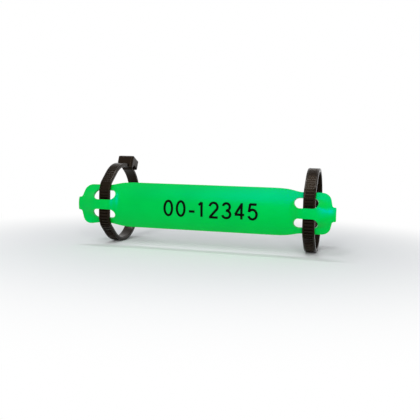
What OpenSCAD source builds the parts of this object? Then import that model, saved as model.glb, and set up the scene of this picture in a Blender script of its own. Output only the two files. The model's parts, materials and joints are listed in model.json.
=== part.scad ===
// Cable marker: a thin plastic plate bent to a round and held by two cable ties.
// X runs along the plate, Z is up, the plate faces -Y and the origin is on the axis of the straps' loops.
// Widths on the plate are measured round its outer face, as on the flat blank.

/* [Grip] */
// Diameter of the grip, the round that both straps close on
cable_d = 24; // [20:0.5:40]

/* [Plate] */
// Length from the tip of one tab to the tip of the other
plate_l = 81.2; // [74:0.2:120]
// Thickness of the plate
plate_t = 0.7; // [0.5:0.05:1]
// Width of the middle of the plate
body_w = 14.8; // [13.4:0.1:17]
// Width of each end of the plate
end_w = 12.8; // [12:0.1:13.2]
// Length of the curve that narrows the middle to an end
shoulder_l = 4; // [3:0.5:8]
// Radius of the outer corners of each end
corner_r = 2.8; // [2.2:0.1:3.6]
// Slope of the edge between a corner and the tab, in degrees
end_lean = 12; // [6:1:20]
// Width of the tab in the middle of each end
tab_w = 4.1; // [3:0.1:4.6]
// Length of the straight side of the tab
tab_side_l = 0.2; // [0.1:0.1:1]
// Radius of the hollow curve beside the tab
tab_fillet_r = 0.7; // [0.4:0.1:1]
// Radius of the corners at the tip of the tab
tab_corner_r = 0.3; // [0.2:0.05:0.6]

/* [Slots] */
// Length of each strap slot
slot_l = 7.2; // [6:0.1:8]
// Width of each strap slot
slot_w = 3.25; // [2.8:0.05:3.4]
// Width of the bridge between two slots
bridge_w = 2.8; // [2.4:0.1:3.2]
// Distance from the tip of the tab to the outer end of the slots
slot_inset = 5.1; // [4.8:0.1:6]
// Distance from the right tie to the outer end of its slots, while the left tie is in the middle
slot_end_gap = 0.9; // [0.8:0.05:1.8]
// Length over which the plate rises from the body to the bridge
ridge_run = 1.5; // [0.8:0.1:3]
// Share of the bridge's rise that is left at the tip of the tab
tip_rise = 0.45; // [0:0.05:1]

/* [Tie strap] */
// Width of the strap
strap_w = 3.6; // [2.5:0.1:4.6]
// Thickness of the strap
strap_t = 1.1; // [0.9:0.05:1.4]
// Width of the smooth edge on each side of the teeth
strap_edge_w = 0.55; // [0.3:0.05:0.8]
// Distance from one tooth of the strap to the next
tooth_pitch = 0.95; // [0.8:0.05:1.4]
// Depth of the gaps between the teeth
tooth_h = 0.35; // [0.2:0.05:0.5]
// Depth of the tips of the teeth below the smooth edges
crest_drop = 0.05; // [0.02:0.01:0.1]
// Length of strap without teeth next to the head
plain_l = 6; // [2:0.5:15]

/* [Tie head] */
// Height of the head above the grip
head_h = 4.1; // [4:0.1:6]
// Width of the head along X
head_w = 5.5; // [5.2:0.1:8]
// Thickness of the wall that the strap grows from
root_wall_t = 1.8; // [1.2:0.1:2.6]
// Thickness of the wall that carries the pawl
pawl_wall_t = 1.4; // [1:0.1:2.2]
// Room between the strap and the wall that carries the pawl
pawl_room = 1.3; // [1:0.1:2]
// Thickness of the pawl at its hinge
pawl_t = 0.9; // [0.6:0.1:1.2]
// Radius of the top corners of the head
head_top_r = 1; // [0.3:0.1:1.2]
// Radius of the upright corners of the head
head_side_r = 0.7; // [0.3:0.1:1.2]
// Inside radius of the bend where the strap turns into the head
bend_r = 0.8; // [0.6:0.1:1.2]
// Height of the cut end of the strap above the head
tail_end_l = 0.4; // [0.2:0.1:3]
// Place of the left head round the grip, in degrees up from the front
left_head_turn = 114; // [95:1:200]
// Place of the right head round the grip, in degrees up from the front
right_head_turn = 185; // [95:1:200]

/* [Fit] */
// Clearance between pieces that lie on each other
fit = 0.08; // [0.05:0.01:0.15]

/* [Hidden] */
$fn = 96;

// Steps along each curve of the outline, along each straight end and across the plate
curve_steps = 8;
end_steps = 8;
across_steps = 18;
// Steps round the front of the strap
strap_steps = 60;
// Angle over which the strap eases round an edge of the plate
bend_turn = 1.5;
// Places of the bottom and the top of a tooth gap, as shares of the pitch
gap_bottom = 0.12;
gap_top = 0.75;
// Length that cutting shapes reach past what they cut
over = 1;
// Step and overlaps where the straight and round stretches of the strap join
weld = 0.02;
weld_l = 0.3;
weld_turn = 2;

cable_r = cable_d / 2;
plate_r = cable_r + fit;
face_r = plate_r + plate_t;
seat_r = face_r + fit;

// Outline of one end, from the body to the tip of the tab
tip_x = plate_l / 2;
slot_x = tip_x - slot_inset - slot_l / 2;
slot_out = bridge_w / 2 + slot_w;
slot_mid = bridge_w / 2 + slot_w / 2;
left_tie_x = -slot_x;
right_tie_x = slot_x + slot_l / 2 - slot_end_gap - strap_w / 2;
shoulder_end = slot_x - strap_w / 2 - fit;
shoulder_start = shoulder_end - shoulder_l;
corner_w = end_w / 2 - corner_r;
tab_root_x = tip_x - tab_corner_r - tab_side_l;
edge_drop = corner_w + corner_r * sin(end_lean) - tab_w / 2 - tab_fillet_r * (1 - sin(end_lean));
corner_x = tab_root_x - (tab_fillet_r + corner_r) * cos(end_lean) - edge_drop * tan(end_lean);

// Path of the strap over the side rails of the plate
rail_in = turn(slot_out) - bend_turn;
rail_out = turn(end_w / 2) + bend_turn;
chord_r = max(cable_r, seat_r * cos(rail_in));
foot_in = rail_in - acos(chord_r / seat_r);
foot_out = rail_out + acos(cable_r / seat_r);
front_turn = foot_out - acos(cable_r / (cable_r + weld));

// Rise of the bridge over the strap
bridge_under = strap_r(turn(bridge_w / 2) + bend_turn) + strap_t + fit;
ridge_h = bridge_under - plate_r;
ridge_start = slot_x - slot_l / 2 - ridge_run;
flat_half = strap_w / 2 + fit;

// Head of a tie, with u along the strap and v away from the grip
head_l = root_wall_t + fit + strap_t + pawl_room + pawl_wall_t;
tail_u = root_wall_t + fit - head_l / 2;
tooth_u = tail_u + strap_t;
pawl_wall_u = tooth_u + pawl_room;
outer_bend_r = bend_r + strap_t;
bend_u = tail_u + outer_bend_r;
bend_v = sqrt(pow(cable_r + outer_bend_r, 2) - pow(bend_u, 2));
lift_turn = asin(bend_u / (cable_r + outer_bend_r));
head_v = cable_r + head_h;
far = 2 * head_v;

// Teeth round the loop and in the head
tooth_turn = tooth_pitch / (cable_r + strap_t) * 180 / PI;
teeth_from = lift_turn - 360 + tooth_turn;
teeth_to = -asin(head_l / 2 / cable_r) - plain_l / (cable_r + strap_t) * 180 / PI;
loop_teeth = floor((teeth_to - teeth_from) / tooth_turn);
tail_teeth = ceil((head_v + tail_end_l - bend_v) / tooth_pitch);
pawl_teeth = 2;

// Angle that a width on the plate takes up round the grip
function turn(w) = w / face_r * 180 / PI;

// Smooth step from 0 to 1
function smooth(t) = (1 - cos(180 * min(1, max(0, t)))) / 2;

// Distance from the axis to a strap pulled straight between what it touches
function taut_r(a) =
    a < foot_in ? chord_r
    : a < rail_in ? chord_r / cos(a - foot_in)
    : a < rail_out ? seat_r
    : a < foot_out ? cable_r / cos(foot_out - a)
    : cable_r;

// The same path with its corners eased
function strap_r(a) =
    let (near = [for (k = [-2 : 2]) taut_r(abs(a + k * bend_turn / 2))])
    (near[0] + near[1] + near[2] + near[3] + near[4]) / 5;

// Half of the outline as places along the plate and half widths
half_outline = concat(
    [for (i = [0 : curve_steps])
        [shoulder_start + shoulder_l * i / curve_steps,
         body_w / 2 - (body_w - end_w) / 2 * smooth(i / curve_steps)]],
    [for (i = [1 : end_steps - 1])
        [shoulder_end + (corner_x - shoulder_end) * i / end_steps, end_w / 2]],
    [for (i = [0 : curve_steps])
        let (a = 90 - (90 - end_lean) * i / curve_steps)
        [corner_x + corner_r * cos(a), corner_w + corner_r * sin(a)]],
    [for (i = [0 : curve_steps / 2])
        let (a = end_lean + (90 - end_lean) * 2 * i / curve_steps)
        [tab_root_x - tab_fillet_r * cos(a), tab_w / 2 + tab_fillet_r * (1 - sin(a))]],
    [for (i = [0 : 3])
        [tip_x - tab_corner_r * (1 - sin(30 * i)), tab_w / 2 - tab_corner_r * (1 - cos(30 * i))]]
);
outline = concat(
    [for (i = [len(half_outline) - 1 : -1 : 0]) [-half_outline[i][0], half_outline[i][1]]],
    half_outline
);

// Rise of the plate where it is pushed up by the strap below a bridge
// It falls towards the tip, where its flat top has turned into an arch
function tip_share(x, tie_x) = smooth((x - tie_x - flat_half) / (tip_x - tie_x - flat_half));
function rise_along(x, tie_x) =
    x < tie_x ? smooth((x - ridge_start) / (tie_x - flat_half - ridge_start))
    : 1 - (1 - tip_rise) * tip_share(x, tie_x);
function rise_across(w, flat_w) = 1 - smooth((w - flat_w) / (slot_out - fit - flat_w));
function end_rise(x, w, tie_x) =
    rise_along(x, tie_x) * rise_across(w, (bridge_w / 2 + fit) * (1 - tip_share(x, tie_x)));
function rise(x, w) = ridge_h * end_rise(abs(x), abs(w), x < 0 ? -left_tie_x : right_tie_x);

// Point of the plate at a place along it, a width and a height above its inner face
function plate_point(x, w, h) =
    let (r = plate_r + h + rise(x, w))
    [x, -r * cos(turn(w)), r * sin(turn(w))];

// Two triangles for four corners
function split(q) = [[q[0], q[1], q[2]], [q[0], q[2], q[3]]];

// The blank bent to the grip, before its slots are cut
module bent_blank() {
    rows = len(outline);
    cols = across_steps + 1;
    points = [for (h = [0, plate_t], row = outline, j = [0 : across_steps])
        plate_point(row[0], row[1] * (2 * j / across_steps - 1), h)];
    inner = [for (i = [0 : rows - 1]) [for (j = [0 : across_steps]) i * cols + j]];
    outer = [for (i = [0 : rows - 1]) [for (j = [0 : across_steps]) (rows + i) * cols + j]];
    last = rows - 1;
    wide = across_steps;
    faces = [for (i = [0 : rows - 2], j = [0 : across_steps - 1])
        each concat(
            split([outer[i][j], outer[i][j + 1], outer[i + 1][j + 1], outer[i + 1][j]]),
            split([inner[i][j], inner[i + 1][j], inner[i + 1][j + 1], inner[i][j + 1]])
        )];
    long_edges = [for (i = [0 : rows - 2])
        each concat(
            split([outer[i][0], outer[i + 1][0], inner[i + 1][0], inner[i][0]]),
            split([outer[i][wide], inner[i][wide], inner[i + 1][wide], outer[i + 1][wide]])
        )];
    tips = [for (j = [0 : across_steps - 1])
        each concat(
            split([outer[0][j], inner[0][j], inner[0][j + 1], outer[0][j + 1]]),
            split([outer[last][j], outer[last][j + 1], inner[last][j + 1], inner[last][j]])
        )];
    polyhedron(points, concat(faces, long_edges, tips));
}

// Slot with round ends, cut straight towards the axis
module slot_cut() {
    depth = plate_t + ridge_h + 2 * over;
    translate([0, 0, plate_r - over])
        linear_extrude(depth) {
            square([slot_l - slot_w, slot_w], center = true);
            for (side = [-1, 1])
                translate([side * (slot_l - slot_w) / 2, 0]) circle(d = slot_w);
        }
}

module marker_plate() {
    color([0, 0.78, 0.3])
        difference() {
            bent_blank();
            for (end = [-1, 1], side = [-1, 1])
                translate([end * slot_x, 0, 0])
                    rotate([90 - side * turn(slot_mid), 0, 0]) slot_cut();
        }
}

// Point of a tie at a radius and an angle from its head
function at(r, a) = [r * sin(a), r * cos(a)];

// Outer radius of the strap at an angle from the head
function loop_r(a, head_turn) = strap_r(a + head_turn) + strap_t;

// Everything nearer to the axis than a face of the strap, which is raised over the rails
module inside_of(head_turn, height) {
    circle(cable_r + height);
    turns = [for (i = [0 : strap_steps]) front_turn * (2 * i / strap_steps - 1)];
    polygon(concat([[0, 0]], [for (a = turns) at(strap_r(a) + height, a - head_turn)]));
}

// Side view of the strap: round the grip, over the rails and out through the head
module strap_side(head_turn) {
    root_u = (root_wall_t - head_l) / 2;
    difference() {
        inside_of(head_turn, strap_t);
        inside_of(head_turn, 0);
        polygon([[0, 0], at(far, lift_turn - weld_turn), [root_u, far], [root_u, 0]]);
    }
    translate([bend_u, bend_v])
        intersection() {
            difference() {
                circle(outer_bend_r - weld);
                circle(bend_r + weld);
            }
            polygon([[0, 0], -at(far, lift_turn), [-far, -far], [-far, 0]]);
        }
    translate([tail_u, bend_v - weld_l]) square([strap_t, weld_l + head_v + tail_end_l - bend_v]);
}

// Gaps between the teeth round the loop
module loop_gaps(head_turn) {
    gap = [[0, crest_drop], [gap_bottom, tooth_h], [gap_top, crest_drop]];
    polygon(concat(
        [for (k = [0 : loop_teeth - 1], p = gap)
            let (a = teeth_from + (k + p[0]) * tooth_turn)
            at(loop_r(a, head_turn) - p[1], a)],
        [for (k = [loop_teeth - 1 : -1 : 0], p = [gap_top, 0])
            let (a = teeth_from + (k + p) * tooth_turn)
            at(loop_r(a, head_turn) + over, a)]
    ));
}

// Edge of the teeth on the tail, moved out by a clearance
function tail_edge(count, out) =
    let (gap = [[0, crest_drop], [gap_top - gap_bottom, tooth_h], [gap_top, crest_drop]])
    [for (k = [0 : count - 1], p = gap)
        [tooth_u - p[1] + out, bend_v + (k + p[0]) * tooth_pitch]];

// Gaps between the teeth on the tail inside the head
module tail_gaps() {
    top = bend_v + tail_teeth * tooth_pitch;
    polygon(concat(
        tail_edge(tail_teeth, 0),
        [[tooth_u - crest_drop, top], [tooth_u + over, top], [tooth_u + over, bend_v]]
    ));
}

module strap(head_turn) {
    difference() {
        linear_extrude(strap_w, center = true) strap_side(head_turn);
        linear_extrude(strap_w - 2 * strap_edge_w, center = true) {
            loop_gaps(head_turn);
            tail_gaps();
        }
    }
}

// Rectangle with round corners, centred
module round_rectangle(length, width, r) {
    square([length - 2 * r, width], center = true);
    square([length, width - 2 * r], center = true);
    for (a = [-1, 1], b = [-1, 1])
        translate([a * (length / 2 - r), b * (width / 2 - r)]) circle(r);
}

// Side view of the head, hollowed to sit on the grip and on the strap
module head_side() {
    difference() {
        union() {
            translate([-head_l / 2, 0]) square([head_l, head_v - head_top_r]);
            translate([head_top_r - head_l / 2, 0]) square([head_l - 2 * head_top_r, head_v]);
            for (side = [-1, 1])
                translate([side * (head_l / 2 - head_top_r), head_v - head_top_r]) circle(head_top_r);
        }
        circle(cable_r);
        intersection() {
            circle(cable_r + strap_t + fit);
            translate([tail_u - fit, 0]) square(far);
        }
    }
}

// Sprung tongue whose teeth sit in the gaps of the tail
module pawl_side() {
    top = bend_v + pawl_teeth * tooth_pitch;
    polygon(concat(
        tail_edge(pawl_teeth, fit),
        [[tooth_u + fit, top],
         [tooth_u + pawl_t / 2, top],
         [pawl_wall_u + fit, bend_v + pawl_t],
         [pawl_wall_u + fit, bend_v]]
    ));
}

module head() {
    intersection() {
        difference() {
            linear_extrude(head_w, center = true) head_side();
            linear_extrude(strap_w + 2 * fit, center = true)
                translate([tail_u - fit, 0]) square([pawl_wall_u - tail_u + fit, far]);
        }
        rotate([-90, 0, 0]) linear_extrude(far) round_rectangle(head_l, head_w, head_side_r);
    }
    linear_extrude(strap_w - 2 * strap_edge_w, center = true) pawl_side();
}

// A closed tie, with its head at a given angle up from the front
module tie(x, head_turn) {
    color([0.13, 0.1, 0.08])
        translate([x, 0, 0])
            rotate([90, 0, 90])
                rotate(90 - head_turn) {
                    strap(head_turn);
                    head();
                }
}

module left_tie() {
    tie(left_tie_x, left_head_turn);
}

module right_tie() {
    tie(right_tie_x, right_head_turn);
}

marker_plate();
left_tie();
right_tie();
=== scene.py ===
# %% [markdown]
# # A cable marker and its two ties
# The marker is a thin green plate that is bent to a round and held by two dark nylon ties.
# A CAD model already sets every size. It is loaded first, as a frame that is never moved, and the boxes of
# its parts give sizes and places that the dressed pieces are built to.

# %% Load the frame
import json
import bpy
import numpy as np
from mathutils import Matrix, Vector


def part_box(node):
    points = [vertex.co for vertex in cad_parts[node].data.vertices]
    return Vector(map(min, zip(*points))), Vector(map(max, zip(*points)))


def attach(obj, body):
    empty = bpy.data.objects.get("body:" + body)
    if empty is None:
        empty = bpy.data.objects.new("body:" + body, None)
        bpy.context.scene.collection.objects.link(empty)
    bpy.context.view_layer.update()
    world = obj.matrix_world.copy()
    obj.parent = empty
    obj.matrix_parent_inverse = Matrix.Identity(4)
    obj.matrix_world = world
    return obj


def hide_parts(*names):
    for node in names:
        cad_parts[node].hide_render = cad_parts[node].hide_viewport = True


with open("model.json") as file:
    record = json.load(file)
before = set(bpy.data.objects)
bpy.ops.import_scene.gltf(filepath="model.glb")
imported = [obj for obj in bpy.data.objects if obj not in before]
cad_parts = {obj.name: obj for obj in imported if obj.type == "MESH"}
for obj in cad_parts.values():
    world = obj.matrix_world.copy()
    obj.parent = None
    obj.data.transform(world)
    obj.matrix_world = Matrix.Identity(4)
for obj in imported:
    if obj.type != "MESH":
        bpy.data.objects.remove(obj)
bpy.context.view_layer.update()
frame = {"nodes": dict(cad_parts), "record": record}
print("CAD nodes:", sorted(frame["nodes"]))

# %% [markdown]
# ## Working in millimetres
# Small moulded parts are easier to read in millimetres and degrees than in metres and radians.
# Every shape below is an array of places in millimetres, and one factor turns it into metres
# when it becomes a mesh. X runs along the plate, Z is up and the plate faces -Y. Both straps
# close on one round about X, the grip, and its radius is the first size that is read.

# %% Units and small functions
MM = 0.001


def sind(a):
    """Sine of an angle in degrees."""
    return np.sin(np.radians(a))


def cosd(a):
    """Cosine of an angle in degrees."""
    return np.cos(np.radians(a))


def smooth(t):
    """Half a cosine wave: 0 up to t = 0, 1 from t = 1, and level at both ends."""
    return (1 - np.cos(np.pi * np.clip(t, 0, 1))) / 2


grip_r = frame["record"]["mounts"][0]["dims"]["r_mm"]
print("radius of the grip that the straps close on:", grip_r, "mm")

# %% [markdown]
# ## The camera
# The camera comes before the pieces, because every later choice is judged through it. Its
# place was fitted to the outline of the plate: it stands a little to the right and a little
# above. Building its matrix from three axes shows what a camera is: X to the right in the
# picture, Y up in the picture, and Z from the scene towards the lens.

# %% Camera
view_turn, view_rise, view_roll = 14.98, 4.92, 1.41
view_range = 193.23
focal_l, sensor_w, near_limit = 50.74, 36, 5
view_target = np.array([-0.436, 0.0, -1.451])
back = np.array([sind(view_turn) * cosd(view_rise), -cosd(view_turn) * cosd(view_rise), sind(view_rise)])
right = np.array([cosd(view_turn), sind(view_turn), 0.0])
above = np.cross(back, right)
axes = np.eye(4)
axes[:3, 0] = right * cosd(view_roll) + above * sind(view_roll)
axes[:3, 1] = above * cosd(view_roll) - right * sind(view_roll)
axes[:3, 2] = back
axes[:3, 3] = (view_target + view_range * back) * MM


def put_in_scene(name, data):
    """A new object that holds the data and is linked to the scene."""
    thing = bpy.data.objects.new(name, data)
    bpy.context.scene.collection.objects.link(thing)
    return thing


lens = bpy.data.cameras.new("camera")
lens.lens, lens.sensor_width = focal_l, sensor_w
lens.clip_start = near_limit * MM
camera = put_in_scene("camera", lens)
camera.matrix_world = Matrix(axes.tolist())
bpy.context.scene.camera = camera
print("camera at", np.round(axes[:3, 3], 4), "m")

# %% [markdown]
# ## From arrays to a mesh
# A surface that is a function of two parameters is a table of points. Each cell of the table
# becomes one face, so the faces are the table's numbers, shifted against each other. A shell
# that closes on itself has a volume, and the sign of that volume says whether its faces look
# outwards. Turning them by that sign is safer than trusting the order the shape was written in.

# %% Tables, shells and pieces
crisp_angle = np.radians(24)


def cells(table):
    """Four-cornered faces between the neighbours of a table of point numbers."""
    corners = (table[:-1, :-1], table[1:, :-1], table[1:, 1:], table[:-1, 1:])
    return np.stack(corners, -1).reshape(-1, 4)


def ring(table):
    """The table with its first column repeated at the end, which closes it sideways."""
    return np.concatenate([table, table[:, :1]], 1)


def volume(points, faces):
    """A sixth of the sum of a . (b x c) over triangles fanned from each face's first corner."""
    total = 0.0
    for group in faces:
        for k in range(1, group.shape[1] - 1):
            a, b, c = points[group[:, 0]], points[group[:, k]], points[group[:, k + 1]]
            total += np.sum(a * np.cross(b, c)) / 6
    return total


def make_piece(name, shells):
    """One object at the origin from closed shells that face outwards, smooth but for its crisp edges."""
    points, faces, start = [], [], 0
    for shell_points, groups in shells:
        step = 1 if volume(shell_points, groups) > 0 else -1
        faces += [face for group in groups for face in (group[:, ::step] + start).tolist()]
        points.append(shell_points * MM)
        start += len(shell_points)
    mesh = bpy.data.meshes.new(name)
    mesh.from_pydata(np.concatenate(points).tolist(), [], faces)
    mesh.shade_smooth()
    mesh.set_sharp_from_angle(angle=crisp_angle)
    piece = put_in_scene(name, mesh)
    print(name, "has", len(mesh.vertices), "points and", len(mesh.polygons), "faces")
    return piece


# %% [markdown]
# ## The outline of the plate
# The real plate is cut flat from sheet: a wide body, ends that narrow in a soft shoulder, round
# corners and a short tab in the middle of each end. Because both halves and both ends are
# alike, only one quarter of the outline is written down, as a half width for each place s
# along the plate. The shoulder begins far in as a faint bow and falls late, which a power of
# the way along it gives. The last stretch, from the corner to the tab, is a row of points
# instead, because the outline there turns too sharply to be a function of s.

# %% Sizes and outline of the plate
fit = 0.08
plate_t = 0.7
face_r = grip_r + fit + plate_t
body_w, end_w = 15.1, 12.8
strap_w, strap_t = 3.6, 1.1
slot_l, slot_w, slot_inset, bridge_w = 7.2, 3.25, 5.1, 2.8
tip_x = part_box("marker_plate")[1][0] / MM
slot_x = tip_x - slot_inset - slot_l / 2
slot_mid = (bridge_w + slot_w) / 2
bow_start, lateness, shoulder_lead = 15.0, 3.5, 1.3
shoulder_end = slot_x - shoulder_lead
corner_r, end_lean = 2.8, 12
corner_w = end_w / 2 - corner_r
tab_half, tab_side_l, tab_corner_r, tab_fillet_r = 2.05, 0.2, 0.3, 0.7
tab_root = tip_x - tab_corner_r - tab_side_l
edge_drop = corner_w + corner_r * sind(end_lean) - tab_half - tab_fillet_r * (1 - sind(end_lean))
corner_x = tab_root - (tab_fillet_r + corner_r) * cosd(end_lean) - edge_drop * np.tan(np.radians(end_lean))


def half_width(s):
    """Body eased late to the end by a power of the way there, then the height of the corner's circle."""
    way = np.clip((s - bow_start) / (shoulder_end - bow_start), 0, 1)
    body = body_w / 2 - (body_w - end_w) / 2 * smooth(way**lateness)
    circle = corner_w + np.sqrt(corner_r**2 - np.clip(s - corner_x, 0, corner_r) ** 2)
    return np.where(s < corner_x, body, circle)


def end_outline(start):
    """Corner arc from s = start, hollow fillet and tip corner, each a circle in its own angle."""
    a = np.linspace(np.degrees(np.arccos((start - corner_x) / corner_r)), end_lean, 9)
    b = np.linspace(end_lean, 90, 7)
    c = np.linspace(0, 90, 5)
    arc = np.stack([corner_x + corner_r * cosd(a), corner_w + corner_r * sind(a)], -1)
    hollow = np.stack([tab_root - tab_fillet_r * cosd(b), tab_half + tab_fillet_r * (1 - sind(b))], -1)
    tip = np.stack([tip_x - tab_corner_r * (1 - sind(c)), tab_half - tab_corner_r * (1 - cosd(c))], -1)
    return np.concatenate([arc, hollow, tip])


print("the plate is", round(2 * tip_x, 2), "mm long and its slots are centred", round(slot_x, 2), "mm out")

# %% [markdown]
# ## The rise of the bridge
# The strap lies on the side rails, dives through the slots and passes below the bridge between
# them, so it pushes the bridge up. That leaves a rib which falls off towards the body and the
# tab. The rise is one product of two easings: how far along the plate, times how far from the
# middle. The strap's own line is needed first, because the bridge sits on it. The two ties were
# pulled tight at different places in their slots, so each end takes the place of its own tie.

# %% Line of a tight strap and rise of the plate
bend_turn, widest_turn = 1.5, 60
seat_r = face_r + fit


def turn(w):
    """Angle in degrees that a width w on the plate's face takes up round the grip."""
    return np.degrees(w / face_r)


rail_in = turn(bridge_w / 2 + slot_w) - bend_turn
rail_out = turn(end_w / 2) + bend_turn
chord_r = max(grip_r, seat_r * cosd(rail_in))
foot_in = rail_in - np.degrees(np.arccos(chord_r / seat_r))
foot_out = rail_out + np.degrees(np.arccos(grip_r / seat_r))


def taut_r(a):
    """Radius of a thread pulled tight: straight off the bridge, over the rail, straight to the grip."""
    inner = chord_r / cosd(np.clip(a - foot_in, 0, widest_turn))
    outer = grip_r / cosd(np.clip(foot_out - a, 0, widest_turn))
    return np.select([a < rail_in, a < rail_out, a < foot_out], [inner, seat_r, outer], grip_r)


def strap_r(a):
    """Mean of the tight thread over a small angle, because a real strap is too stiff for corners."""
    near = np.linspace(-bend_turn, bend_turn, 13)
    return np.mean(taut_r(np.abs(np.asarray(a, float)[..., None] + near)), -1)


ridge_h = strap_r(turn(bridge_w / 2) + bend_turn) + strap_t + fit - (grip_r + fit)
ridge_run = 1.5
ridge_start = slot_x - slot_l / 2 - ridge_run
flat_half = strap_w / 2 + fit
tip_rise = 0.45


def middle_x(node):
    """Middle of a CAD node's box along X, in millimetres."""
    low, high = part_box(node)
    return (low[0] + high[0]) / 2 / MM


left_tie_x, right_tie_x = middle_x("left_tie"), middle_x("right_tie")


def rise(s, w):
    """Eased up to the tie and down to the tip, times an easing across whose flat top ends as an arch."""
    tie_x = np.where(s < 0, -left_tie_x, right_tie_x)
    s, w = np.abs(s), np.abs(w)
    up = smooth((s - ridge_start) / (tie_x - flat_half - ridge_start))
    down = smooth((s - tie_x - flat_half) / (tip_x - tie_x - flat_half))
    flat_w = (bridge_w / 2 + fit) * (1 - down)
    across = 1 - smooth((w - flat_w) / (bridge_w / 2 + slot_w - fit - flat_w))
    return ridge_h * np.where(s < tie_x, up, 1 - (1 - tip_rise) * down) * across


print("the bridge rises", round(float(ridge_h), 2), "mm over the plate")

# %% [markdown]
# ## Bending the sheet
# A flat sheet bends along arcs, and an arc is known by its length and its curve, which is one
# over its radius. Up to the straps the plate takes the curve of the grip. Past the left strap
# nothing holds the lower corner, so there it has sprung back and stands out almost flat. With
# the sinc function, sin(x) / x, the formula of an arc stays true where the curve goes to zero.

# %% Place on the bent plate
spring_back, spring_run = 1.2, 4.7


def curve(s, w):
    """Curve of the bent face, eased away on the lower half over a short run past the left strap."""
    sprung = spring_back * smooth((left_tie_x - flat_half - s) / spring_run)
    return (1 - sprung * (w < 0)) / face_r


def on_plate(s, w, height=0.0):
    """Along an arc of length w across the plate, then out along its normal by the rise and a height."""
    bend = curve(s, w) * w
    out = rise(s, w) + height
    y = bend * w / 2 * np.sinc(bend / 2 / np.pi) ** 2 - face_r - out * np.cos(bend)
    z = w * np.sinc(bend / np.pi) + out * np.sin(bend)
    return np.stack([s, y, z], -1)


edge_lift = on_plate(corner_x, -end_w / 2)[1] - on_plate(-corner_x, -end_w / 2)[1]
print("where its corner begins, the sprung edge stands", round(float(edge_lift), 2), "mm further out")

# %% [markdown]
# ## The plate as one sheet
# Cutting slots with a Boolean would leave long thin triangles that shade badly. Instead a
# quarter of the plate is laid out in three tables: the plain body, a frame of cells that runs
# round the slot, and the rows of the end. In the middle one, a parameter q goes from the slot's
# edge (q = 0) to the border of the table (q = 1), so the cells follow the hole by themselves.
# The quarter is then mirrored as numbers, and points that fall together are merged.

# %% Quarter of the plate in three tables
ring_margin, ring_reach = 0.5, 1.4
ring_start, ring_end = ridge_start - ring_margin, corner_x + ring_reach
across_cells, along_cells, ring_cells, body_rows = 16, 28, 10, 35


def rows_to(s, w):
    """Rows of points from the middle line to half width w, one row for each place s."""
    share = np.linspace(0, 1, across_cells + 1)
    return np.stack([np.repeat(s[:, None], across_cells + 1, 1), w[:, None] * share], -1)


def round_slot():
    """Points between the slot and a border: the border's point mixed with the nearest slot edge."""
    up = np.linspace(0, 1, across_cells + 1)[:-1]
    out = np.linspace(0, 1, along_cells + 1)[:-1]
    s_out = ring_start + (ring_end - ring_start) * out
    s_back = ring_end - (ring_end - ring_start) * out
    border = np.concatenate([
        np.stack([np.full(across_cells, ring_start), up * half_width(ring_start)], -1),
        np.stack([s_out, half_width(s_out)], -1),
        np.stack([np.full(across_cells, ring_end), (1 - up) * half_width(ring_end)], -1),
        np.stack([s_back, np.zeros(along_cells)], -1),
    ])
    reach = (slot_l - slot_w) / 2
    nearest = np.clip(border[:, 0], slot_x - reach, slot_x + reach)
    middle = np.stack([nearest, np.full(len(border), slot_mid)], -1)
    away = border - middle
    edge = middle + away / np.linalg.norm(away, axis=1, keepdims=True) * slot_w / 2
    q = np.linspace(0, 1, ring_cells + 1)[:, None, None]
    return edge + (border - edge) * q


body_s = np.linspace(0, ring_start, body_rows)
end_line = end_outline(ring_end)
tables = [rows_to(body_s, half_width(body_s)), round_slot(), rows_to(end_line[:, 0], end_line[:, 1])]
print("tables of one quarter:", [t.shape[:2] for t in tables])

# %% [markdown]
# The other three quarters are the same numbers with other signs. The flat sheet is then bent by
# one call, because the formula of the bent plate takes whole arrays. A wall and soft edges could
# be worked out too, but Solidify and Bevel do that well and stay easy to change.

# %% Sheet of four quarters, with thickness and soft edges
edge_round, edge_angle, merge_digits = 0.13, 50, 5
quarter, quarter_faces = [], []
for table, closed in zip(tables, (False, True, False)):
    index = np.arange(table.shape[0] * table.shape[1]).reshape(table.shape[:2]) + sum(map(len, quarter))
    quarter_faces.append(cells(ring(index) if closed else index))
    quarter.append(table.reshape(-1, 2))
quarter = np.concatenate(quarter)
quarter_faces = np.concatenate(quarter_faces)
signs = np.array([[1, 1], [-1, 1], [1, -1], [-1, -1]])
flat = (signs[:, None] * quarter).reshape(-1, 2)
faces = (quarter_faces + len(quarter) * np.arange(4)[:, None, None]).reshape(-1, 4)
places = np.round(flat, merge_digits)
first, number = np.unique(places, axis=0, return_index=True, return_inverse=True)[1:]
sheet_points = on_plate(flat[first][:, 0], flat[first][:, 1])
faces = number.reshape(-1)[faces]
corner = sheet_points[faces]
facing = np.cross(corner[:, 2] - corner[:, 0], corner[:, 3] - corner[:, 1])
inward = np.sum(facing[:, 1:] * corner.mean(1)[:, 1:], 1) < 0
faces[inward] = faces[inward][:, ::-1]
plate_mesh = bpy.data.meshes.new("plate")
plate_mesh.from_pydata((sheet_points * MM).tolist(), [], faces.tolist())
plate_mesh.shade_smooth()
plate = put_in_scene("plate", plate_mesh)
wall = plate.modifiers.new("wall", "SOLIDIFY")
wall.thickness = plate_t * MM
wall.offset = -1
soft_edge = plate.modifiers.new("soft_edge", "BEVEL")
soft_edge.width = edge_round * MM
soft_edge.segments = 3
soft_edge.limit_method = "ANGLE"
soft_edge.angle_limit = np.radians(edge_angle)
soft_edge.harden_normals = True
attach(plate, "root")
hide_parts("marker_plate")
print("plate sheet:", len(sheet_points), "points,", len(faces), "faces")

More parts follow.
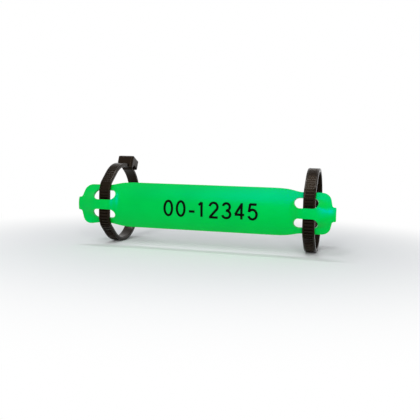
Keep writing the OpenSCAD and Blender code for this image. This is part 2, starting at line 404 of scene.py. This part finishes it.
# %% [markdown]
# ## The strap of a tie
# A tie is one moulding: a flat strap with fine teeth across its outer face, smooth edges beside
# them, and a head. The strap is a profile carried along a path. The path starts in the head,
# runs round the grip, over the rails and below the bridge, and rolls up into the head again.
# It is written in the head's own plane, with u along the strap and v away from the grip.
# The samples sit exactly on the tips and the roots of the teeth, so each tooth stays crisp.

# %% Sizes and path of a strap
root_wall_t, pawl_wall_t, pawl_room = 1.8, 1.4, 1.3
head_h, head_w = 4.1, 5.5
bend_r, tail_end = 0.8, 0.4
tooth_pitch, tooth_h, crest_drop, plain_l = 0.95, 0.35, 0.05, 6
head_l = root_wall_t + fit + strap_t + pawl_room + pawl_wall_t
tail_u = root_wall_t + fit - head_l / 2
tooth_u = tail_u + strap_t
pawl_wall_u = tooth_u + pawl_room
outer_bend_r = bend_r + strap_t
bend_u = tail_u + outer_bend_r
bend_v = np.sqrt((grip_r + outer_bend_r) ** 2 - bend_u**2)
lift_turn = np.degrees(np.arcsin(bend_u / (grip_r + outer_bend_r)))
head_v = grip_r + head_h
tooth_turn = np.degrees(tooth_pitch / (grip_r + strap_t))
teeth_from = lift_turn - 360 + tooth_turn
teeth_to = -np.degrees(np.arcsin(head_l / 2 / grip_r)) - np.degrees(plain_l / (grip_r + strap_t))
loop_teeth = int((teeth_to - teeth_from) / tooth_turn)
gap_bottom, gap_top = 0.12, 0.75
plain_step, tail_teeth, last_gap = 1.5, 6, 0.02


def tooth_depth(share):
    """Depth below the smooth edge over one pitch: steep to the bottom, slow back to the next tip."""
    return np.interp(share, [0, gap_bottom, gap_top, 1], [crest_drop, tooth_h, crest_drop, crest_drop])


def strap_path(head_turn):
    """Inner face of the strap as (u, v), the way to its toothed face, and the depth of its teeth."""
    root_turn = -np.degrees(np.arcsin((head_l - root_wall_t) / 2 / grip_r))
    plain = np.arange(root_turn, teeth_to, -plain_step)
    share = np.append(np.linspace(gap_top, gap_bottom, 4), 0)
    toothed = (teeth_from + tooth_turn * (np.arange(loop_teeth)[::-1, None] + share)).ravel()
    last = np.linspace(teeth_from, lift_turn - 360, 5)[1:]
    a = np.concatenate([plain, toothed, last])
    bites = np.tile(tooth_depth(share), loop_teeth)
    depth = np.concatenate([np.zeros(len(plain)), bites, np.zeros(len(last))])
    out = np.stack([sind(a), cosd(a)], -1)
    loop = out * strap_r((a + head_turn + 180) % 360 - 180)[:, None]
    b = np.linspace(lift_turn, 90, 13)[1:]
    bend_out = np.stack([sind(b), cosd(b)], -1)
    bend = np.array([bend_u, bend_v]) - outer_bend_r * bend_out
    v = (bend_v + tooth_pitch * (np.arange(tail_teeth)[:, None] + gap_top - share)).ravel()[1:]
    tail_depth = np.tile(tooth_depth(share), tail_teeth)[1:]
    keep = v < head_v + tail_end - last_gap
    v = np.append(v[keep], head_v + tail_end)
    tail_depth = np.append(tail_depth[keep], crest_drop)
    tail = np.stack([np.full(len(v), tail_u), v], -1)
    points = np.concatenate([loop, bend, tail])
    ways = np.concatenate([out, bend_out, np.tile([1.0, 0.0], (len(v), 1))])
    return points, ways, np.concatenate([depth, np.zeros(len(b)), tail_depth])


print("teeth round a loop:", loop_teeth)

# %% [markdown]
# The profile of the strap is a flat bar with rounded corners. Only its middle band goes down
# with the teeth, so each point of the profile carries a 0 or a 1 that says whether it follows
# the depth. One multiplication of arrays then gives every point of the strap at once.

# %% Strap as a shell
edge_w, round_r, band_slope = 0.55, 0.22, 0.05


def strap_profile():
    """Half of a bar with round corners, as (x, height, follows the teeth), and its mirror image."""
    a = np.linspace(0, 90, 6)
    half, band = strap_w / 2, strap_w / 2 - edge_w
    low = np.stack([half - round_r * (1 - sind(a)), round_r * (1 - cosd(a)), 0 * a], -1)
    high = np.stack([half - round_r * (1 - cosd(a)), strap_t - round_r * (1 - sind(a)), 0 * a], -1)
    top = np.array([[band, strap_t, 0], [band - band_slope, strap_t, 1], [0, strap_t, 1]])
    side = np.concatenate([[[0, 0, 0]], low, high, top])
    return np.concatenate([side, side[-2:0:-1] * [-1, 1, 1]])


def head_place(u, v, x, head_turn, tie_x):
    """From the head's plane to the frame: u and v turned about X by the head's angle."""
    y = u * sind(head_turn) - v * cosd(head_turn)
    z = u * cosd(head_turn) + v * sind(head_turn)
    return np.stack([x + tie_x, y, z], -1)


def strap_shell(head_turn, tie_x):
    """Each point is the path plus the profile's height, less the teeth's depth, along the way out."""
    path, ways, depth = strap_path(head_turn)
    profile = strap_profile()
    height = profile[:, 1] - profile[:, 2] * depth[:, None]
    uv = path[:, None] + ways[:, None] * height[..., None]
    points = head_place(uv[..., 0], uv[..., 1], profile[:, 0] + 0 * height, head_turn, tie_x)
    table = np.arange(height.size).reshape(height.shape)
    return points.reshape(-1, 3), [cells(ring(table)), table[[0]], table[[-1], ::-1]]


print("points round the strap's profile:", len(strap_profile()))

# %% [markdown]
# ## The head of a tie
# The head is a small block with a channel through it. Seen from above, its outside and its
# channel are two loops with round corners. If both loops have the same number of points, a
# wall is what lies between matching points, and a short section (up the outside, round the top
# edge, down the channel) carried along the loops gives the whole block as one closed surface.
# Its underside follows the grip on one half and the strap on the other.

# %% Head as a shell
corner_steps, side_steps = 6, 14
side_r, top_r, edge_r, lip_r = 0.7, 1.0, 0.45, 0.16
step_l = 0.3


def round_loop(u0, u1, x0, x1, r):
    """Four quarter circles round the corners, with straight runs of equal steps between them."""
    centre = np.array([[u1 - r, x1 - r], [u0 + r, x1 - r], [u0 + r, x0 + r], [u1 - r, x0 + r]])
    a = np.linspace(0, 90, corner_steps + 1) + np.array([[0], [90], [180], [270]])
    arcs = centre[:, None] + r * np.stack([cosd(a), sind(a)], -1)
    leave, arrive = arcs[:, -1:], np.roll(arcs, -1, 0)[:, :1]
    share = np.linspace(0, 1, side_steps + 1)[1:-1, None]
    return np.concatenate([arcs, leave + (arrive - leave) * share], 1).reshape(-1, 2)


def underside(u):
    """Height of the grip below the root wall, eased to the height of the strap below the rest."""
    over_strap = smooth((u - tail_u + fit + step_l) / step_l)
    reach = grip_r + (strap_t + fit) * over_strap
    return np.sqrt(reach**2 - u**2)


def head_shell(head_turn, tie_x):
    """Section of the wall, as a distance in from the outside and a height, carried round the loops."""
    inside_x = strap_w / 2 + fit
    outer = round_loop(-head_l / 2, head_l / 2, -head_w / 2, head_w / 2, side_r)
    inner = round_loop(tail_u - fit, pawl_wall_u, -inside_x, inside_x, lip_r)
    thick = np.linalg.norm(inner - outer, axis=1, keepdims=True)
    top_edge = edge_r + (top_r - edge_r) * smooth((np.abs(outer[:, :1]) - head_l / 2 + side_r) / side_r)
    low_out, low_in = underside(outer[:, :1]), underside(inner[:, :1])
    a = np.linspace(0, 90, 6)
    d = np.concatenate([
        lip_r * (1 - sind(a)) + 0 * thick,
        top_edge * (1 - cosd(a)),
        thick - lip_r * (1 - sind(a)),
        thick,
    ], 1)
    v = np.concatenate([
        low_out + lip_r * (1 - cosd(a)),
        head_v - top_edge * (1 - sind(a)),
        head_v - lip_r * (1 - cosd(a)) + 0 * thick,
        low_in,
    ], 1)
    ux = outer[:, None] + ((inner - outer) / thick)[:, None] * d[..., None]
    points = head_place(ux[..., 0], v, ux[..., 1], head_turn, tie_x)
    table = np.arange(v.size).reshape(v.shape)
    closed = np.concatenate([table, table[:1]])
    return points.reshape(-1, 3), [cells(ring(closed))]


print("points round the head:", 4 * (corner_steps + side_steps))

# %% [markdown]
# The pawl is the sprung tongue in the channel. Its small teeth lie in the gaps of the strap and
# let it run one way only. It is a side view drawn as a row of points and pushed out to both
# sides, which is the simplest surface of all: two copies of one line with a band between them.

# %% Pawl as a shell
pawl_t, pawl_teeth = 0.9, 2


def pawl_shell(head_turn, tie_x):
    """The toothed side view at -x and +x, joined by a band."""
    share = np.array([0, gap_top - gap_bottom, gap_top])
    step = (np.arange(pawl_teeth)[:, None] + share).ravel()
    depth = np.tile([crest_drop, tooth_h, crest_drop], pawl_teeth)
    top = bend_v + pawl_teeth * tooth_pitch
    teeth = np.stack([tooth_u - depth + fit, bend_v + step * tooth_pitch], -1)
    back_line = np.array([
        [tooth_u + fit, top],
        [tooth_u + pawl_t / 2, top],
        [pawl_wall_u + fit, bend_v + pawl_t],
        [pawl_wall_u + fit, bend_v],
    ])
    side = np.concatenate([teeth, back_line])
    x = np.array([[-1.0], [1.0]]) * (strap_w / 2 - edge_w)
    points = head_place(side[:, 0] + 0 * x, side[:, 1] + 0 * x, x + 0 * side[:, 0], head_turn, tie_x)
    table = np.arange(2 * len(side)).reshape(2, -1)
    return points.reshape(-1, 3), [cells(ring(table)), table[[0]], table[[1], ::-1]]


print("teeth on a pawl:", pawl_teeth)

# %% [markdown]
# A tie on the real object is one moulding, so its three shells become one object. They may
# overlap inside, where nobody sees it. The left head shows at the top, and the right one is
# turned to the back.

# %% Two ties
def make_tie(name, head_turn, tie_x):
    """Strap, head and pawl of one tie, as one piece."""
    tie = make_piece(name, [shell(head_turn, tie_x) for shell in (strap_shell, head_shell, pawl_shell)])
    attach(tie, "root")
    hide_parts(name.replace("_nylon", ""))
    return tie


left_head_turn, right_head_turn = 114, 185
left_tie = make_tie("left_tie_nylon", left_head_turn, left_tie_x)
right_tie = make_tie("right_tie_nylon", right_head_turn, right_tie_x)

# %% [markdown]
# ## The printed number
# Such a plate carries a printed number. Here it is a plain row of figures in a thin round hand.
# A font could be wrapped with a modifier, but its curves make poor triangles on a bent plate.
# Each figure is drawn as strokes instead: arcs and lines in a box one unit high. A stroke is a
# narrow ribbon of ink, a few hundredths of a millimetre thick, laid on the plate's own formula.

# %% Strokes of the figures
def line(*corners):
    """Points spread evenly along straight runs between corners."""
    corners = np.array(corners, float)
    at = np.linspace(0, len(corners) - 1, 12 * len(corners))
    return np.stack([np.interp(at, np.arange(len(corners)), corners[:, k]) for k in (0, 1)], -1)


def arc(x, y, rx, ry, start, end):
    """Part of an ellipse about (x, y), from one angle to another."""
    a = np.linspace(start, end, 40)
    return np.stack([x + rx * cosd(a), y + ry * sind(a)], -1)


figures = {
    "0": [arc(0.31, 0.5, 0.24, 0.44, 0, 368)],
    "1": [line((0.36, 0.94), (0.36, 0.06)), line((0.37, 0.93), (0.17, 0.77))],
    "2": [np.concatenate([arc(0.31, 0.69, 0.24, 0.25, 172, -28), line((0.5, 0.54), (0.08, 0.07))[1:]]),
          line((0.03, 0.06), (0.57, 0.06))],
    "3": [arc(0.3, 0.725, 0.21, 0.215, 165, -95), arc(0.3, 0.285, 0.245, 0.225, 95, -165)],
    "4": [line((0.43, 0.93), (0.06, 0.31)), line((0.03, 0.3), (0.6, 0.3)), line((0.43, 0.99), (0.43, 0.02))],
    "5": [line((0.53, 0.94), (0.13, 0.94)), line((0.15, 0.97), (0.09, 0.48)),
          arc(0.3, 0.345, 0.245, 0.285, 143, -160)],
    "-": [line((0.04, 0.36), (0.4, 0.36))],
}
widths = {"-": 0.47}
print("figures drawn:", " ".join(figures))

# %% [markdown]
# A stroke becomes a bar with four corners: half a stroke to each side, and a little below and
# above the plate's face. Sinking it slightly keeps the ink from floating over the bent sheet.

# %% Ink on the plate
number_text = "00-12345"
cap_h, stroke, pitch = 5.1, 0.74, 0.79
number_x, number_w = -12.0, -2.87
ink_t = 0.03


def ribbon(path):
    """A bar of ink: the path moved half a stroke to each side, below and above the plate's face."""
    way = np.gradient(path, axis=0)
    way /= np.linalg.norm(way, axis=1, keepdims=True)
    aside = np.stack([-way[:, 1], way[:, 0]], -1) * stroke / 2
    s = path[:, 0, None] + aside[:, 0, None] * [-1, -1, 1, 1]
    w = path[:, 1, None] + aside[:, 1, None] * [-1, -1, 1, 1]
    points = on_plate(s, w, np.array([-ink_t, ink_t, ink_t, -ink_t]))
    table = np.arange(s.size).reshape(s.shape)
    return points.reshape(-1, 3), [cells(ring(table)), table[[0]], table[[-1], ::-1]]


strokes = []
cursor = number_x
for letter in number_text:
    strokes += [ribbon(path * cap_h + [cursor, number_w]) for path in figures[letter]]
    cursor += cap_h * widths.get(letter, pitch)
ink = make_piece("printed_number", strokes)
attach(ink, "root")
print("the number ends", round(cursor, 1), "mm right of the middle")

# %% [markdown]
# ## A moulded skin for every plastic
# Plastic is never quite even: its colour drifts over centimetres and its skin has a fine grain.
# Both come from noise in Object coordinates, so they stay put on the piece. The effect is a
# node group that each material uses with its own scales. It puts out only values; the shaders
# stay in the materials.

# %% Node group for the skin
noise_low, noise_high = 0.3, 0.7
skin = bpy.data.node_groups.new("moulded_skin", "ShaderNodeTree")
for socket_name, kind in (("Vector", "NodeSocketVector"), ("Drift Scale", "NodeSocketFloat"),
                          ("Grain Scale", "NodeSocketFloat")):
    skin.interface.new_socket(socket_name, in_out="INPUT", socket_type=kind)
for socket_name in ("Drift", "Grain"):
    skin.interface.new_socket(socket_name, in_out="OUTPUT", socket_type="NodeSocketFloat")
skin_in = skin.nodes.new("NodeGroupInput")
skin_out = skin.nodes.new("NodeGroupOutput")
for scale_name, result, detail in (("Drift Scale", "Drift", 3.0), ("Grain Scale", "Grain", 2.0)):
    noise = skin.nodes.new("ShaderNodeTexNoise")
    noise.inputs["Detail"].default_value = detail
    skin.links.new(skin_in.outputs["Vector"], noise.inputs["Vector"])
    skin.links.new(skin_in.outputs[scale_name], noise.inputs["Scale"])
    spread = skin.nodes.new("ShaderNodeMapRange")
    spread.inputs["From Min"].default_value = noise_low
    spread.inputs["From Max"].default_value = noise_high
    skin.links.new(noise.outputs["Fac"], spread.inputs["Value"])
    skin.links.new(spread.outputs["Result"], skin_out.inputs[result])
print("node group", skin.name, "with outputs Drift and Grain")

# %% [markdown]
# A function builds each material in the same way, so that three finishes are three short calls.
# The drift mixes two close colours, and the grain moves the roughness and lifts a faint relief.

# %% A material with that skin
grain_h = 0.02


def plastic(name, dark, light, rough, drift, grain, bump):
    """Colour and roughness go from one end to the other with the drift, and the grain is a bump."""
    material = bpy.data.materials.new(name)
    material.use_nodes = True
    nodes, links = material.node_tree.nodes, material.node_tree.links
    shader = nodes["Principled BSDF"]
    place = nodes.new("ShaderNodeTexCoord")
    group = nodes.new("ShaderNodeGroup")
    group.node_tree = skin
    group.inputs["Drift Scale"].default_value = drift
    group.inputs["Grain Scale"].default_value = grain
    links.new(place.outputs["Object"], group.inputs["Vector"])
    tone = nodes.new("ShaderNodeMix")
    tone.data_type = "RGBA"
    tone.inputs["A"].default_value = (*dark, 1)
    tone.inputs["B"].default_value = (*light, 1)
    links.new(group.outputs["Drift"], tone.inputs["Factor"])
    links.new(tone.outputs["Result"], shader.inputs["Base Color"])
    gloss = nodes.new("ShaderNodeMapRange")
    gloss.inputs["To Min"].default_value = rough[0]
    gloss.inputs["To Max"].default_value = rough[1]
    links.new(group.outputs["Grain"], gloss.inputs["Value"])
    links.new(gloss.outputs["Result"], shader.inputs["Roughness"])
    relief = nodes.new("ShaderNodeBump")
    relief.inputs["Strength"].default_value = bump
    relief.inputs["Distance"].default_value = grain_h * MM
    links.new(group.outputs["Grain"], relief.inputs["Height"])
    links.new(relief.outputs["Normal"], shader.inputs["Normal"])
    print("material", name)
    return material, shader


# %% [markdown]
# ## Three finishes
# The plate is a satin green sheet with cool highlights. The ties are glossy nylon that looks
# black but is really a very dark brown. The ink is matt and nearly black. A number that is the
# same all over, such as the tint of the highlights, is set straight on the shader's socket.

# %% Finishes
green, green_shader = plastic(
    "green_plastic", dark=(0.0, 0.50, 0.010), light=(0.0, 0.57, 0.018),
    rough=(0.29, 0.39), drift=70, grain=4200, bump=0.25)
green_shader.inputs["Specular IOR Level"].default_value = 0.9
green_shader.inputs["Specular Tint"].default_value = (0.0, 0.1, 1.0, 1)
plate.data.materials.append(green)
nylon, nylon_shader = plastic(
    "black_nylon", dark=(0.005, 0.003, 0.0017), light=(0.010, 0.006, 0.0037),
    rough=(0.16, 0.28), drift=160, grain=5200, bump=0.25)
nylon_shader.inputs["Specular IOR Level"].default_value = 0.14
nylon_shader.inputs["Specular Tint"].default_value = (1.0, 0.75, 0.55, 1)
left_tie.data.materials.append(nylon)
right_tie.data.materials.append(nylon)
black, black_shader = plastic(
    "black_ink", dark=(0.001, 0.001, 0.001), light=(0.003, 0.003, 0.003),
    rough=(0.5, 0.7), drift=900, grain=6000, bump=0.2)
black_shader.inputs["Specular IOR Level"].default_value = 0.02
ink.data.materials.append(black)

# %% [markdown]
# ## The floor
# The ties stand on a pale floor. Close by, it is an ordinary matt white that takes the shadow.
# Further out it fades into a plain white glow, so that no horizon shows. The glow is only for
# the camera and for reflections, which Light Path tells apart, and lights nothing.

# %% Floor
def seen_directly(nodes, links):
    """A value that is 1 for rays from the camera, a reflection or a clear body, and 0 for light."""
    rays = nodes.new("ShaderNodeLightPath")
    value = rays.outputs["Is Camera Ray"]
    for kind in ("Is Glossy Ray", "Is Transmission Ray"):
        either = nodes.new("ShaderNodeMath")
        either.operation = "MAXIMUM"
        links.new(value, either.inputs[0])
        links.new(rays.outputs[kind], either.inputs[1])
        value = either.outputs["Value"]
    return value


floor_gap, floor_half = 0.02, 2000
fade_start, fade_end = 40, 120
floor_z = min(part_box("left_tie")[0][2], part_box("right_tie")[0][2]) / MM - floor_gap
floor_corners = np.array([[-1, -1, 0], [1, -1, 0], [1, 1, 0], [-1, 1, 0]]) * floor_half + [0, 0, floor_z]
floor_mesh = bpy.data.meshes.new("floor")
floor_mesh.from_pydata((floor_corners * MM).tolist(), [], [(0, 1, 2, 3)])
floor = put_in_scene("floor", floor_mesh)
paper = bpy.data.materials.new("floor_paper")
paper.use_nodes = True
nodes, links = paper.node_tree.nodes, paper.node_tree.links
paper_shader = nodes["Principled BSDF"]
paper_shader.inputs["Base Color"].default_value = (0.92, 0.92, 0.92, 1)
paper_shader.inputs["Roughness"].default_value = 0.9
paper_shader.inputs["Specular IOR Level"].default_value = 0.1
glow = nodes.new("ShaderNodeEmission")
place = nodes.new("ShaderNodeTexCoord")
length = nodes.new("ShaderNodeVectorMath")
length.operation = "LENGTH"
links.new(place.outputs["Object"], length.inputs[0])
fade = nodes.new("ShaderNodeMapRange")
fade.interpolation_type = "SMOOTHSTEP"
fade.inputs["From Min"].default_value = fade_start * MM
fade.inputs["From Max"].default_value = fade_end * MM
links.new(length.outputs["Value"], fade.inputs["Value"])
share = nodes.new("ShaderNodeMath")
share.operation = "MULTIPLY"
links.new(fade.outputs["Result"], share.inputs[0])
links.new(seen_directly(nodes, links), share.inputs[1])
blend = nodes.new("ShaderNodeMixShader")
links.new(share.outputs["Value"], blend.inputs["Fac"])
links.new(paper_shader.outputs["BSDF"], blend.inputs[1])
links.new(glow.outputs["Emission"], blend.inputs[2])
links.new(blend.outputs["Shader"], nodes["Material Output"].inputs["Surface"])
floor_mesh.materials.append(paper)
print("floor at", round(floor_z, 2), "mm")

# %% [markdown]
# ## The world
# The world gives an even fill from all sides, so no shadow goes black. Seen by the camera or in
# a reflection it is plain white instead, the same white that the floor fades into.

# %% World
world = bpy.data.worlds.new("studio")
bpy.context.scene.world = world
world.use_nodes = True
nodes, links = world.node_tree.nodes, world.node_tree.links
fill = nodes["Background"]
fill.inputs["Color"].default_value = (0.95, 0.97, 1.0, 1)
fill.inputs["Strength"].default_value = 0.42
white = nodes.new("ShaderNodeBackground")
white.inputs["Color"].default_value = (1, 1, 1, 1)
white.inputs["Strength"].default_value = 1.0
blend = nodes.new("ShaderNodeMixShader")
links.new(seen_directly(nodes, links), blend.inputs["Fac"])
links.new(fill.outputs["Background"], blend.inputs[1])
links.new(white.outputs["Background"], blend.inputs[2])
links.new(blend.outputs["Shader"], nodes["World Output"].inputs["Surface"])
print("world: fill", fill.inputs["Strength"].default_value)

# %% [markdown]
# ## The lamps
# A tall soft lamp in front and above gives the light its direction, and it lays a cool sheen on
# the right half of the plate. A long thin one further back draws glints along the teeth of the
# straps. Another tall one at the front right, like a window, shines on the slopes where the
# plate rises over a strap.

# %% Lamps
def softbox(name, place, aim, size, power, colour):
    """A lamp of a width and a height at a place, its lower edge level, its -Z axis towards the aim."""
    lamp = bpy.data.lights.new(name, "AREA")
    lamp.shape = "RECTANGLE"
    lamp.size, lamp.size_y = size[0] * MM, size[1] * MM
    lamp.energy = power
    lamp.color = colour
    away = np.array(place, float) - aim
    away /= np.linalg.norm(away)
    side = np.cross([0.0, 0.0, 1.0], away)
    side /= np.linalg.norm(side)
    pose = np.eye(4)
    pose[:3, 0], pose[:3, 1], pose[:3, 2] = side, np.cross(away, side), away
    pose[:3, 3] = np.array(place, float) * MM
    put_in_scene(name, lamp).matrix_world = Matrix(pose.tolist())
    print("lamp", name, power, "W")


softbox("front", (-46, -320, 280), (0, 0, 0), (50, 320), 0.42, (0.96, 0.98, 1.0))
softbox("strip", (-90, 60, 410), (-90, 0, 0), (240, 30), 0.32, (0.92, 0.97, 1.0))
softbox("window", (150, -365, 110), (0, 0, 0), (60, 220), 0.66, (1.0, 1.0, 1.0))

# %% Finish
bpy.context.scene.view_settings.view_transform = "Standard"
